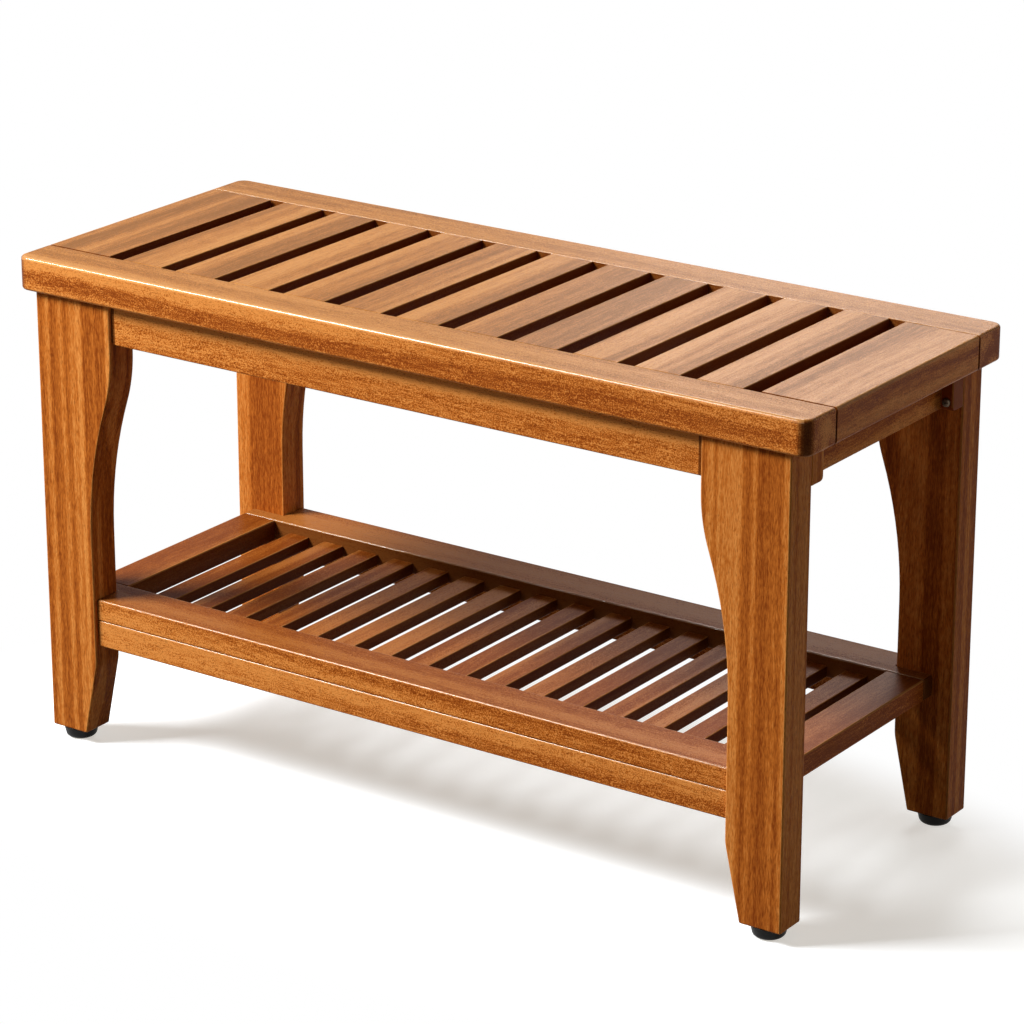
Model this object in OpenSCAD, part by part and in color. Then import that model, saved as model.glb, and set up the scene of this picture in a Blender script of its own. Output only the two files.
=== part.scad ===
// Slatted shower bench in solid teak: a framed seat on four shaped legs, with a slatted shelf below.
// Millimetres. X runs along the seat, Y from front to back and Z up.
// The origin is on the floor, under the middle of the seat.

/* [Overall] */
// Length of the seat, end to end
bench_l = 815; // [760:5:900]
// Depth of the seat, front to back
bench_d = 320; // [300:5:380]
// Height of the seat's top above the floor
bench_h = 457; // [440:1:480]

/* [Seat] */
// Thickness of the seat's frame
seat_t = 31; // [29:1:36]
// Width of the front and back rails
rail_w = 43; // [41:1:50]
// Width of each end board
end_board_w = 70; // [60:1:73]
// Radius of the seat's four corners, seen from above
corner_r = 11; // [8:1:16]
// Number of slats between the end boards
seat_slats = 11; // [10:1:12]
// Width of a seat slat
seat_slat_w = 43.5; // [38:0.5:46]
// Thickness of a seat slat
seat_slat_t = 18; // [16:1:20]
// Width of the shadow groove where an end board meets a rail
groove_w = 1; // [0.5:0.1:2]
// Depth of that groove
groove_depth = 3; // [2:0.5:5]

/* [Legs] */
// Width of a leg at its head
leg_w = 84; // [80:1:92]
// Width of a leg at its waist, beside the shelf
leg_waist_w = 55; // [52:1:62]
// Width of a leg at its lower end
leg_foot_w = 40; // [36:1:46]
// Thickness of a leg, front to back
leg_t = 32; // [29:1:34]
// Distance from the seat's end to a leg's outer side
leg_side_set = 17; // [14:1:20]
// Distance from the seat's long edge to a leg's outer face
leg_face_set = 5; // [2:1:8]
// Straight length of a leg's head, below the seat
leg_head_h = 48; // [44:1:60]
// Height above the floor where the curve ends in the waist
waist_z = 205; // [190:5:220]
// Radius of the shoulder, the upper half of the curve
shoulder_r = 150; // [120:5:180]
// Height above the floor where the lower taper starts
taper_z = 80; // [70:1:90]
// Radius of the rounded break at the top of the taper
taper_r = 40; // [20:1:50]

/* [Aprons] */
// Height of the aprons under the seat
apron_h = 36; // [34:1:40]
// Thickness of the aprons
apron_t = 20; // [18:1:22]
// Distance from a leg's outer face to a long apron's face
apron_face_set = 3; // [1:0.5:5]
// Distance from a leg's outer side to an end apron's face
apron_side_set = 12; // [10:1:14]
// How far a corner cleat stands out from an end apron
cleat_out = 12; // [10:1:13]
// Width of a corner cleat along the end apron
cleat_w = 18; // [15:1:20]
// Radius of a corner cleat's lower edge
cleat_r = 4; // [2:0.5:6]

/* [Shelf] */
// Height of the shelf frame's top above the floor
shelf_z = 144; // [135:1:160]
// Thickness of the shelf's rails
shelf_rail_t = 20; // [18:1:24]
// Width of the shelf's front and back rails
shelf_rail_w = 43; // [42:1:50]
// Width of the shelf's end rails
shelf_end_w = 37; // [34:1:44]
// Distance from a leg's outer face to the shelf's long edge
shelf_face_set = 4; // [2:0.5:6]
// Distance from a leg's outer side to the shelf's end
shelf_side_set = 19; // [16:1:24]
// Number of shelf slats
shelf_slats = 16; // [12:1:16]
// Width of a shelf slat
shelf_slat_w = 22; // [18:1:26]
// Thickness of a shelf slat
shelf_slat_t = 11; // [9:1:12]
// How far the shelf slats lie below the rails' tops
slat_recess = 9; // [7:0.5:9]
// Height of the stretcher boards under the shelf
stretcher_h = 25; // [20:1:30]
// Thickness of the stretcher boards
stretcher_t = 22; // [20:1:24]

/* [Tenons] */
// Length of a seat slat's tenon
seat_tenon_l = 12; // [8:1:13]
// Thickness of a seat slat's tenon
seat_tenon_t = 8; // [6:1:10]
// Length of a shelf slat's tenon
shelf_tenon_l = 8; // [6:1:10]
// Thickness of a shelf slat's tenon
shelf_tenon_t = 5; // [4:0.5:6]
// Shoulder at each side of a tenon
tenon_shoulder = 4; // [3:0.5:5]
// Clearance round a tenon in its mortise
tenon_play = 0.2; // [0.1:0.1:0.4]

/* [Dowels] */
// Diameter of the main dowels
dowel_d = 8; // [6:1:8]
// Length of the main dowels
dowel_l = 40; // [36:1:42]
// Distance of an end board's dowels from the board's two sides
board_dowel_in = 15; // [13:1:16]
// Distance of the outer dowel in a leg's head from the leg's outer side
top_dowel_out = 10; // [8:1:11]
// Distance between the two dowels in a leg's head
top_dowel_pitch = 40; // [38:1:44]
// Depth of those dowels in the seat's rail
top_dowel_in = 15; // [13:1:17]
// Depth in a leg of the dowels that hold an end apron
side_dowel_in = 14; // [12:1:16]
// Diameter of the small dowels in the shelf's frame
pin_d = 6; // [5:1:7]
// Length of the small dowels
pin_l = 24; // [20:1:26]
// Clearance round a dowel or a screw
hole_play = 0.15; // [0.1:0.05:0.3]
// Spare depth at the end of a blind hole
hole_spare = 1; // [0.5:0.5:1.5]

/* [Screws] */
// Diameter of a wood screw's shank
screw_d = 4; // [3:0.5:5]
// Diameter of a wood screw's head
screw_head_d = 7.5; // [7:0.5:9]
// Height of a wood screw's head
screw_head_h = 2.5; // [2:0.5:3]
// Length of the screws that hold the cleats
cleat_screw_l = 27; // [24:1:28]
// Length of the screws that hold the seat
seat_screw_l = 45; // [40:1:46]
// Length of the screws that hold the stretchers
stretcher_screw_l = 32; // [28:1:34]
// Length of the screws that hold the feet
foot_screw_l = 35; // [30:1:45]
// Diameter of the counterbores under the heads of both
counterbore_d = 10; // [9:0.5:11]
// Depth of the seat screws' heads in the aprons
apron_counterbore = 10; // [8:1:12]
// Depth of the stretcher screws' heads in the stretchers
stretcher_counterbore = 8; // [6:1:10]
// Distance of the outer seat screws from the middle
screw_pitch = 200; // [150:5:220]

/* [Feet] */
// Height of a rubber foot
foot_h = 11; // [9:1:14]
// Diameter of a foot where it meets the leg
foot_top_d = 32; // [28:1:34]
// Diameter of a foot near the floor
foot_low_d = 27; // [24:1:30]
// Radius of a foot's lower edge
foot_r = 4; // [2:0.5:5]
// Depth of the recess in a foot's underside
foot_recess_h = 5; // [4:0.5:6]
// Diameter of that recess
foot_recess_d = 10.5; // [10:0.5:12]

/* [Hidden] */
$fn = 64;
arc_fn = 360;
bleed = 1;

// Numbered names for repeated pieces, such as seat_slat_01
function numbered(stem, count) = [for (i = [1:count]) str(stem, i < 10 ? "_0" : "_", i)];
seat_slat_names = numbered("seat_slat", seat_slats);
shelf_slat_names = numbered("shelf_slat", shelf_slats);

// Seat
seat_x = bench_l / 2;
seat_y = bench_d / 2;
rail_y = seat_y - rail_w;
seat_low_z = bench_h - seat_t;
slat_field_x = seat_x - end_board_w;
seat_gap = (2 * slat_field_x - seat_slats * seat_slat_w) / (seat_slats + 1);

// Legs, worked out for the corner where X and Y are positive
leg_x = seat_x - leg_side_set;
leg_y = seat_y - leg_face_set;
leg_in_y = leg_y - leg_t;
leg_mid_y = leg_y - leg_t / 2;
waist_x = leg_x - leg_waist_w;
head_z = seat_low_z - leg_head_h;
curve_turn = 2 * atan((leg_w - leg_waist_w) / (head_z - waist_z));
hollow_r = (head_z - waist_z) / sin(curve_turn) - shoulder_r;
curve_u = leg_w - shoulder_r * (1 - cos(curve_turn));
curve_z = head_z - shoulder_r * sin(curve_turn);
taper_turn = atan((leg_waist_w - leg_foot_w) / (taper_z - foot_h));
taper_run = taper_r * tan(taper_turn / 2);
foot_x = leg_x - leg_foot_w / 2;

// Aprons and cleats
apron_z = seat_low_z - apron_h;
apron_mid_z = apron_z + apron_h / 2;
apron_y = leg_y - apron_face_set;
apron_mid_y = apron_y - apron_t / 2;
apron_x = leg_x - apron_side_set;
apron_mid_x = apron_x - apron_t / 2;
cleat_mid_x = apron_x + cleat_out / 2;
cleat_y = leg_in_y - cleat_w;
cleat_screw_z = apron_z + screw_head_d;
dowel_rise = apron_h / 4;

// Shelf
shelf_x = leg_x - shelf_side_set;
shelf_y = leg_y - shelf_face_set;
shelf_in_x = shelf_x - shelf_end_w;
shelf_in_y = shelf_y - shelf_rail_w;
shelf_low_z = shelf_z - shelf_rail_t;
shelf_slat_z = shelf_z - slat_recess;
shelf_gap = (2 * shelf_in_x - shelf_slats * shelf_slat_w) / (shelf_slats + 1);
shelf_dowel_y = (shelf_y + leg_in_y) / 2;
stretcher_z = shelf_low_z - stretcher_h;
stretcher_mid_y = shelf_y - stretcher_t / 2;
pin_out = shelf_end_w / 4;

// Screws
seat_screw_z = apron_z + apron_counterbore;
stretcher_screw_z = stretcher_z + stretcher_counterbore;

teak = "peru";
beech = "burlywood";
steel = "silver";
rubber = "#202020";

// Placing

// Puts what is drawn for the corner with positive X and Y at another corner
module at_corner(side, face) {
    mirror([side < 0 ? 1 : 0, 0, 0]) mirror([0, face < 0 ? 1 : 0, 0]) children();
}

module at_corners() {
    for (side = [-1, 1], face = [-1, 1]) at_corner(side, face) children();
}

module at_ends() {
    for (side = [-1, 1]) mirror([side < 0 ? 1 : 0, 0, 0]) children();
}

module at_faces() {
    for (face = [-1, 1]) mirror([0, face < 0 ? 1 : 0, 0]) children();
}

// A box between two opposite corners
module block(low, high) {
    translate(low) cube(high - low);
}

// A round peg along an axis, reaching from the joint face into each piece
module peg(at, way, d, back, ahead, play = 0, spare = 0) {
    translate(at) rotate(way) translate([0, 0, -back - spare])
        cylinder(d = d + 2 * play, h = back + ahead + 2 * spare);
}

// The turn that points +Z along an axis
function turned(axis) = axis == "x" ? [0, 90, 0] : axis == "y" ? [-90, 0, 0] : [0, 0, 0];

// A pan-head screw that points along +Z, its head's seat at the origin
module screw(l, play = 0, spare = 0) {
    cylinder(d = screw_d + 2 * play, h = l + spare);
    if (play == 0) translate([0, 0, -screw_head_h]) cylinder(d = screw_head_d, h = screw_head_h);
}

// A counterbore below a screw's seat
module counterbore(depth) {
    translate([0, 0, -depth - bleed]) cylinder(d = counterbore_d, h = depth + bleed);
}

// Dowels and screws; with a play they cut their own holes

// End boards to rails
module board_dowels(play = 0, spare = 0) {
    for (x = [seat_x - board_dowel_in, slat_field_x + board_dowel_in])
        peg([x, rail_y, bench_h - seat_t / 2], turned("y"), dowel_d, dowel_l / 2, dowel_l / 2, play, spare);
}

// Long aprons to legs
module apron_dowels(play = 0, spare = 0) {
    for (rise = [-dowel_rise, dowel_rise])
        peg([leg_x - leg_w, apron_mid_y, apron_mid_z + rise], turned("x"),
            dowel_d, dowel_l / 2, dowel_l / 2, play, spare);
}

// End aprons to legs
module side_dowels(play = 0, spare = 0) {
    for (rise = [-dowel_rise, dowel_rise])
        peg([apron_mid_x, leg_in_y, apron_mid_z + rise], turned("y"),
            dowel_d, dowel_l - side_dowel_in, side_dowel_in, play, spare);
}

// Legs to the seat's rails
module top_dowels(play = 0, spare = 0) {
    for (u = [top_dowel_out, top_dowel_out + top_dowel_pitch])
        peg([leg_x - u, leg_mid_y, seat_low_z], turned("z"),
            dowel_d, dowel_l - top_dowel_in, top_dowel_in, play, spare);
}

// Shelf rails and stretchers to legs
module shelf_leg_dowels(play = 0, spare = 0) {
    peg([waist_x, shelf_dowel_y, shelf_z - shelf_rail_t / 2], turned("x"),
        dowel_d, dowel_l / 2, dowel_l / 2, play, spare);
    peg([waist_x, stretcher_mid_y, stretcher_z + stretcher_h / 2], turned("x"),
        dowel_d, dowel_l / 2, dowel_l / 2, play, spare);
}

// Shelf end rails to shelf rails
module shelf_pins(play = 0, spare = 0) {
    for (x = [shelf_x - pin_out, shelf_in_x + pin_out])
        peg([x, shelf_in_y, shelf_z - shelf_rail_t / 2], turned("y"), pin_d, pin_l / 2, pin_l / 2, play, spare);
}

module cleat_screw(play = 0, spare = 0) {
    translate([cleat_mid_x, cleat_y, cleat_screw_z]) rotate(turned("y"))
        screw(cleat_screw_l, play, spare);
}

module long_apron_screws(play = 0, spare = 0) {
    for (x = [-screw_pitch, 0, screw_pitch])
        translate([x, apron_mid_y, seat_screw_z]) {
            screw(seat_screw_l, play, spare);
            if (play > 0) counterbore(apron_counterbore);
        }
}

module end_apron_screws(play = 0, spare = 0) {
    for (y = [-leg_in_y / 2, leg_in_y / 2])
        translate([apron_mid_x, y, seat_screw_z]) {
            screw(seat_screw_l, play, spare);
            if (play > 0) counterbore(apron_counterbore);
        }
}

module shelf_screws(play = 0, spare = 0) {
    for (x = [-screw_pitch, 0, screw_pitch])
        translate([x, stretcher_mid_y, stretcher_screw_z]) {
            screw(stretcher_screw_l, play, spare);
            if (play > 0) counterbore(stretcher_counterbore);
        }
}

module foot_screw(play = 0, spare = 0) {
    translate([foot_x, leg_mid_y, foot_recess_h]) screw(foot_screw_l, play, spare);
}

// Seat

// A long rail with rounded outer corners
module seat_rail() {
    color(teak) difference() {
        translate([0, 0, seat_low_z]) linear_extrude(seat_t) {
            translate([-seat_x, rail_y]) square([bench_l, rail_w - corner_r]);
            translate([corner_r - seat_x, rail_y]) square([bench_l - 2 * corner_r, rail_w]);
            for (side = [-1, 1])
                translate([side * (seat_x - corner_r), seat_y - corner_r]) circle(corner_r);
        }
        for (i = [1:seat_slats])
            slat_tenons(seat_slat_x(i), seat_slat_w, bench_h - seat_slat_t / 2,
                rail_y, seat_tenon_l + hole_spare, seat_tenon_t, tenon_play);
        at_ends() board_dowels(hole_play, hole_spare);
        at_ends() top_dowels(hole_play, hole_spare);
        long_apron_screws(hole_play, hole_spare);
    }
}

// A board across the seat's end, its edges stepped back to leave a groove beside each rail
module end_board() {
    color(teak) difference() {
        union() {
            block([slat_field_x, groove_w - rail_y, seat_low_z], [seat_x, rail_y - groove_w, bench_h]);
            block([slat_field_x, -rail_y, seat_low_z + groove_depth],
                  [seat_x - groove_depth, rail_y, bench_h - groove_depth]);
        }
        at_faces() board_dowels(hole_play, hole_spare);
        end_apron_screws(hole_play, hole_spare);
    }
}

function seat_slat_x(i) = seat_gap * i + seat_slat_w * (i - 1) - slat_field_x;
function shelf_slat_x(i) = shelf_gap * i + shelf_slat_w * (i - 1) - shelf_in_x;

// Tenons at both ends of a slat that spans from -y to y; with a play they cut the mortises
module slat_tenons(x, w, mid_z, y, l, t, play = 0) {
    for (face = [-1, 1])
        mirror([0, face < 0 ? 1 : 0, 0])
            block([x + tenon_shoulder - play, y - bleed, mid_z - t / 2 - play],
                  [x + w - tenon_shoulder + play, y + l, mid_z + t / 2 + play]);
}

// A slat with its top at top_z, between the inner faces of two rails
module slat(x, w, top_z, t, y, tenon_l, tenon_t) {
    color(teak) {
        block([x, -y, top_z - t], [x + w, y, top_z]);
        slat_tenons(x, w, top_z - t / 2, y, tenon_l, tenon_t);
    }
}

module seat_slat(i) {
    slat(seat_slat_x(i), seat_slat_w, bench_h, seat_slat_t, rail_y, seat_tenon_l, seat_tenon_t);
}

// Legs, aprons and cleats

module arc_corner(at, r) {
    intersection() {
        translate(at) circle(r, $fn = arc_fn);
        translate([0, foot_h]) square([leg_w, seat_low_z - foot_h]);
    }
}

// A leg from the front: u runs inwards from the outer side, v upwards from the floor
module leg_outline() {
    difference() {
        union() {
            polygon([
                [0, foot_h], [leg_foot_w, foot_h],
                [leg_waist_w - taper_run * sin(taper_turn), taper_z - taper_run * cos(taper_turn)],
                [leg_waist_w, taper_z + taper_run], [leg_waist_w, waist_z],
                [curve_u, curve_z], [leg_w, head_z], [leg_w, seat_low_z], [0, seat_low_z]
            ]);
            arc_corner([leg_w - shoulder_r, head_z], shoulder_r);
            arc_corner([leg_waist_w - taper_r, taper_z + taper_run], taper_r);
        }
        translate([leg_waist_w + hollow_r, waist_z]) circle(hollow_r, $fn = arc_fn);
    }
}

module leg() {
    color(teak) difference() {
        translate([leg_x, leg_y, 0]) rotate([90, 0, 0]) mirror([1, 0, 0])
            linear_extrude(leg_t) leg_outline();
        apron_dowels(hole_play, hole_spare);
        side_dowels(hole_play, hole_spare);
        top_dowels(hole_play, hole_spare);
        shelf_leg_dowels(hole_play, hole_spare);
        cleat_screw(hole_play, hole_spare);
        foot_screw(hole_play, hole_spare);
    }
}

module long_apron() {
    color(teak) difference() {
        block([leg_w - leg_x, apron_y - apron_t, apron_z], [leg_x - leg_w, apron_y, seat_low_z]);
        at_ends() apron_dowels(hole_play, hole_spare);
        long_apron_screws(hole_play, hole_spare);
    }
}

module end_apron() {
    color(teak) difference() {
        block([apron_x - apron_t, -leg_in_y, apron_z], [apron_x, leg_in_y, seat_low_z]);
        at_faces() side_dowels(hole_play, hole_spare);
        end_apron_screws(hole_play, hole_spare);
    }
}

// A cleat in the corner between leg and end apron, its lower edge rounded
module cleat() {
    color(teak) difference() {
        union() {
            block([apron_x, cleat_y, apron_z + cleat_r], [apron_x + cleat_out, leg_in_y, seat_low_z]);
            block([apron_x, cleat_y + cleat_r, apron_z], [apron_x + cleat_out, leg_in_y, seat_low_z]);
            translate([apron_x, cleat_y + cleat_r, apron_z + cleat_r]) rotate(turned("x"))
                cylinder(r = cleat_r, h = cleat_out);
        }
        cleat_screw(hole_play, hole_spare);
    }
}

// Shelf

// A long rail of the shelf, notched round both legs
module shelf_rail() {
    color(teak) difference() {
        block([-shelf_x, shelf_in_y, shelf_low_z], [shelf_x, shelf_y, shelf_z]);
        at_ends() block([waist_x, leg_in_y, shelf_low_z - bleed], [leg_x, leg_y, shelf_z + bleed]);
        for (i = [1:shelf_slats])
            slat_tenons(shelf_slat_x(i), shelf_slat_w, shelf_slat_z - shelf_slat_t / 2,
                shelf_in_y, shelf_tenon_l + hole_spare, shelf_tenon_t, tenon_play);
        at_ends() shelf_leg_dowels(hole_play, hole_spare);
        at_ends() shelf_pins(hole_play, hole_spare);
        shelf_screws(hole_play, hole_spare);
    }
}

module shelf_end_rail() {
    color(teak) difference() {
        block([shelf_in_x, -shelf_in_y, shelf_low_z], [shelf_x, shelf_in_y, shelf_z]);
        at_faces() shelf_pins(hole_play, hole_spare);
    }
}

module shelf_slat(i) {
    slat(shelf_slat_x(i), shelf_slat_w, shelf_slat_z, shelf_slat_t,
        shelf_in_y, shelf_tenon_l, shelf_tenon_t);
}

// The board on edge under a long shelf rail
module stretcher() {
    color(teak) difference() {
        block([-waist_x, shelf_y - stretcher_t, stretcher_z], [waist_x, shelf_y, shelf_low_z]);
        at_ends() shelf_leg_dowels(hole_play, hole_spare);
        shelf_screws(hole_play, hole_spare);
    }
}

// Feet and fasteners

module foot() {
    low_r = foot_low_d / 2;
    color(rubber) translate([foot_x, leg_mid_y, 0]) difference() {
        rotate_extrude() {
            polygon([[0, 0], [low_r - foot_r, 0], [low_r, foot_r], [foot_top_d / 2, foot_h], [0, foot_h]]);
            translate([low_r - foot_r, foot_r]) circle(foot_r);
        }
        translate([0, 0, -bleed]) cylinder(d = screw_d + 2 * hole_play, h = foot_h + 2 * bleed);
        translate([0, 0, -bleed]) cylinder(d = foot_recess_d, h = foot_recess_h + bleed);
    }
}

module frame_dowels() {
    color(beech) at_corners() {
        board_dowels();
        apron_dowels();
        side_dowels();
        top_dowels();
        shelf_leg_dowels();
    }
}

module shelf_dowels() {
    color(beech) at_corners() shelf_pins();
}

module cleat_screws() {
    color(steel) at_corners() cleat_screw();
}

module seat_screws() {
    color(steel) {
        at_faces() long_apron_screws();
        at_ends() end_apron_screws();
    }
}

module stretcher_screws() {
    color(steel) at_faces() shelf_screws();
}

module foot_screws() {
    color(steel) at_corners() foot_screw();
}

at_corner(1, -1) seat_rail();  // front_rail
seat_rail();  // back_rail
at_corner(-1, 1) end_board();  // left_end_board
end_board();  // right_end_board
for (i = [1:seat_slats])
    seat_slat(i);
at_corner(1, -1) long_apron();  // front_apron
long_apron();  // back_apron
at_corner(-1, 1) end_apron();  // left_apron
end_apron();  // right_apron
at_corner(-1, -1) cleat();  // front_left_cleat
at_corner(1, -1) cleat();  // front_right_cleat
at_corner(-1, 1) cleat();  // back_left_cleat
cleat();  // back_right_cleat
at_corner(-1, -1) leg();  // front_left_leg
at_corner(1, -1) leg();  // front_right_leg
at_corner(-1, 1) leg();  // back_left_leg
leg();  // back_right_leg
at_corner(1, -1) shelf_rail();  // shelf_front_rail
shelf_rail();  // shelf_back_rail
at_corner(-1, 1) shelf_end_rail();  // shelf_left_rail
shelf_end_rail();  // shelf_right_rail
for (i = [1:shelf_slats])
    shelf_slat(i);
at_corner(1, -1) stretcher();  // front_stretcher
stretcher();  // back_stretcher
at_corner(-1, -1) foot();  // front_left_foot
at_corner(1, -1) foot();  // front_right_foot
at_corner(-1, 1) foot();  // back_left_foot
foot();  // back_right_foot
frame_dowels();
shelf_dowels();
cleat_screws();
seat_screws();
stretcher_screws();
foot_screws();
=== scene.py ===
import math

import bmesh
import bpy
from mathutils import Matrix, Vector


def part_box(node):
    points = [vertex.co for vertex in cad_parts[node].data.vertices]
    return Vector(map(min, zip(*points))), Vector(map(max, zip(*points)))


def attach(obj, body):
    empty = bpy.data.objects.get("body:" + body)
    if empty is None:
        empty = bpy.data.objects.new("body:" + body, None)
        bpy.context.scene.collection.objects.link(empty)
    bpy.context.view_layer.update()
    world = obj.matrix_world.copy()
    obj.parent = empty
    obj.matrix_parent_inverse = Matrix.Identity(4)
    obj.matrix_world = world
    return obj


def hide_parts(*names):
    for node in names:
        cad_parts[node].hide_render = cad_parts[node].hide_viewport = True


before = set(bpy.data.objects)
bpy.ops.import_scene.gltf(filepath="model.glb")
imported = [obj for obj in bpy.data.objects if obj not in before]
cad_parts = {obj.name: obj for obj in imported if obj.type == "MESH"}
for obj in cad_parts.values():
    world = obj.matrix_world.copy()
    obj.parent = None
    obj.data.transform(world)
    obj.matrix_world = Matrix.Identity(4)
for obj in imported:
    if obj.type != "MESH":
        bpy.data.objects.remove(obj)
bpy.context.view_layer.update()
print("frame loaded:", len(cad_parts), "pieces")

xAxis, yAxis, zAxis = 0, 1, 2
tiny = 0.00005  # metres; two places closer than this are the same
alongShare = 0.999  # an edge runs along an axis when this much of its length does
facingShare = 0.7  # a face faces an axis when this much of its normal lies along it
endShare = 0.4  # less is enough at an end, so that the eased edges round it count too
smoothAngle = math.radians(35)  # sharper bends than this stay sharp to the eye


# Hand tools. Each works on one piece that is selected alone.

def useOnly(piece):
    if bpy.context.mode != "OBJECT":
        bpy.ops.object.mode_set(mode="OBJECT")
    bpy.ops.object.select_all(action="DESELECT")
    piece.select_set(True)
    bpy.context.view_layer.objects.active = piece


def keepPlace(name):
    # the piece's place goes into its mesh, and its object sits at the origin
    piece = bpy.context.object
    piece.name = piece.data.name = name
    bpy.ops.object.transform_apply(location=True, rotation=True, scale=True)
    return piece


def addBlock(name, low, high):
    bpy.ops.object.select_all(action="DESELECT")
    bpy.ops.mesh.primitive_cube_add(size=1, location=(low + high) / 2, scale=high - low)
    return keepPlace(name)


def addRound(name, centre, radius, height, sides=32):
    bpy.ops.object.select_all(action="DESELECT")
    bpy.ops.mesh.primitive_cylinder_add(vertices=sides, radius=radius, depth=height, location=centre)
    return keepPlace(name)


def near(a, b):
    return abs(a - b) < tiny


def onAxis(axis, length):
    way = Vector((0, 0, 0))
    way[axis] = length
    return way


def middle(part):
    if isinstance(part, bmesh.types.BMVert):
        return part.co
    return sum((corner.co for corner in part.verts), Vector()) / len(part.verts)


def lowest(part, axis):
    return min(corner.co[axis] for corner in part.verts)


def highest(part, axis):
    return max(corner.co[axis] for corner in part.verts)


def level(part, height):
    # the whole edge or face lies at this height
    return near(lowest(part, zAxis), height) and near(highest(part, zAxis), height)


def runsAlong(edge, axis):
    reach = edge.verts[1].co - edge.verts[0].co
    return abs(reach[axis]) > alongShare * reach.length


def facing(face, axis, side=0):
    # side is 1 or -1 for one way along the axis, and 0 for both
    share = face.normal[axis]
    return (share * side if side else abs(share)) > facingShare


def atEnd(face, axis):
    return abs(face.normal[axis]) > endShare


def pick(piece, kind, wanted):
    # leaves edit mode on, with only the wanted points, edges or faces selected
    useOnly(piece)
    bpy.ops.object.mode_set(mode="EDIT")
    bpy.ops.mesh.select_mode(type=kind)
    bpy.ops.mesh.select_all(action="DESELECT")
    shape = bmesh.from_edit_mesh(piece.data)
    parts = {"VERT": shape.verts, "EDGE": shape.edges, "FACE": shape.faces}[kind]
    for part in parts:
        if wanted(part):
            part.select_set(True)
    bmesh.update_edit_mesh(piece.data)


def leaveEditing():
    bpy.ops.object.mode_set(mode="OBJECT")


def roundEdges(piece, wanted, radius, steps):
    pick(piece, "EDGE", wanted)
    bpy.ops.mesh.bevel(offset=radius, segments=steps, affect="EDGES")
    leaveEditing()


def growFaces(piece, wanted, way):
    pick(piece, "FACE", wanted)
    bpy.ops.mesh.extrude_region_move(TRANSFORM_OT_translate={"value": way})
    leaveEditing()


def slidePoints(piece, wanted, way):
    pick(piece, "VERT", wanted)
    bpy.ops.transform.translate(value=way)
    leaveEditing()


def divideAt(piece, axis, place):
    # new edges all round the piece, square to the axis
    pick(piece, "FACE", lambda f: True)
    bpy.ops.mesh.bisect(plane_co=onAxis(axis, place), plane_no=onAxis(axis, 1))
    leaveEditing()


def applyAll(piece):
    useOnly(piece)
    for modifier in list(piece.modifiers):
        bpy.ops.object.modifier_apply(modifier=modifier.name)


easing = {
    "angle": 40,  # degrees; sharper bends than this are eased
    "steps": 3,
    "areaWeight": 100,  # the large faces decide the shading
}


def easeEdges(piece, width):
    useOnly(piece)
    bpy.ops.object.shade_smooth()
    bevel = piece.modifiers.new("easedEdges", "BEVEL")
    bevel.width = width
    bevel.segments = easing["steps"]
    bevel.limit_method = "ANGLE"
    bevel.angle_limit = math.radians(easing["angle"])
    flat = piece.modifiers.new("flatFaces", "WEIGHTED_NORMAL")
    flat.weight = easing["areaWeight"]
    applyAll(piece)


def copyPiece(piece, name, move=(0, 0, 0), turn=(0, 0, 0), mirror=()):
    # a copy with its own mesh, turned, moved, or mirrored through the bench's middle
    useOnly(piece)
    bpy.ops.object.duplicate()
    copy = bpy.context.object
    copy.location = move
    copy.rotation_euler = turn
    copy.scale = [-1 if axis in mirror else 1 for axis in (xAxis, yAxis, zAxis)]
    keepPlace(name)
    if len(mirror) == 1:
        pick(copy, "FACE", lambda f: True)
        bpy.ops.mesh.normals_make_consistent(inside=False)
        leaveEditing()
    return copy


def joinPieces(pieces):
    useOnly(pieces[0])
    for piece in pieces[1:]:
        piece.select_set(True)
    if len(pieces) > 1:
        bpy.ops.object.join()
    return pieces[0]


def cutAway(piece, cutter):
    cut = piece.modifiers.new("cut", "BOOLEAN")
    cut.operation = "DIFFERENCE"
    cut.solver = "EXACT"
    cut.object = cutter
    applyAll(piece)
    bpy.data.objects.remove(cutter, do_unlink=True)


def drillUp(piece, mouths, radius, depth):
    # blind round holes that open downwards; half of each bar is below its mouth
    bars = [addRound("bar", mouth, radius, 2 * depth) for mouth in mouths]
    cutAway(piece, joinPieces(bars))


def pieceName(node):
    words = node.split("_")
    return words[0] + "".join(word.capitalize() for word in words[1:])


# Node helpers for the finishes. A value is a node, a (node, output) pair or a plain number.

mixFirst, mixSecond, mixResult = 6, 7, 2  # a Mix node's colour sockets; other kinds have the same names


def addNode(tree, kind, inputs=None, **settings):
    made = tree.nodes.new(kind)
    for label, setting in settings.items():
        setattr(made, label, setting)
    for label, setting in (inputs or {}).items():
        made.inputs[label].default_value = setting
    return made


def feed(tree, value, target, into):
    if isinstance(value, bpy.types.Node):
        value = value, 0
    if isinstance(value, tuple):
        tree.links.new(value[0].outputs[value[1]], target.inputs[into])
    else:
        target.inputs[into].default_value = value


def feedAll(tree, target, values):
    for into, value in enumerate(values):
        feed(tree, value, target, into)
    return target


def calculate(tree, operation, *values):
    return feedAll(tree, addNode(tree, "ShaderNodeMath", operation=operation), values)


def aroundZero(tree, value):
    return calculate(tree, "SUBTRACT", value, 0.5)


def calculateVector(tree, operation, *values):
    return feedAll(tree, addNode(tree, "ShaderNodeVectorMath", operation=operation), values)


def vectorOf(tree, *values):
    return feedAll(tree, addNode(tree, "ShaderNodeCombineXYZ"), values)


def mixShaders(tree, *values):
    # the second shader's share, the first shader, the second shader
    return feedAll(tree, addNode(tree, "ShaderNodeMixShader"), values)


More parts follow.
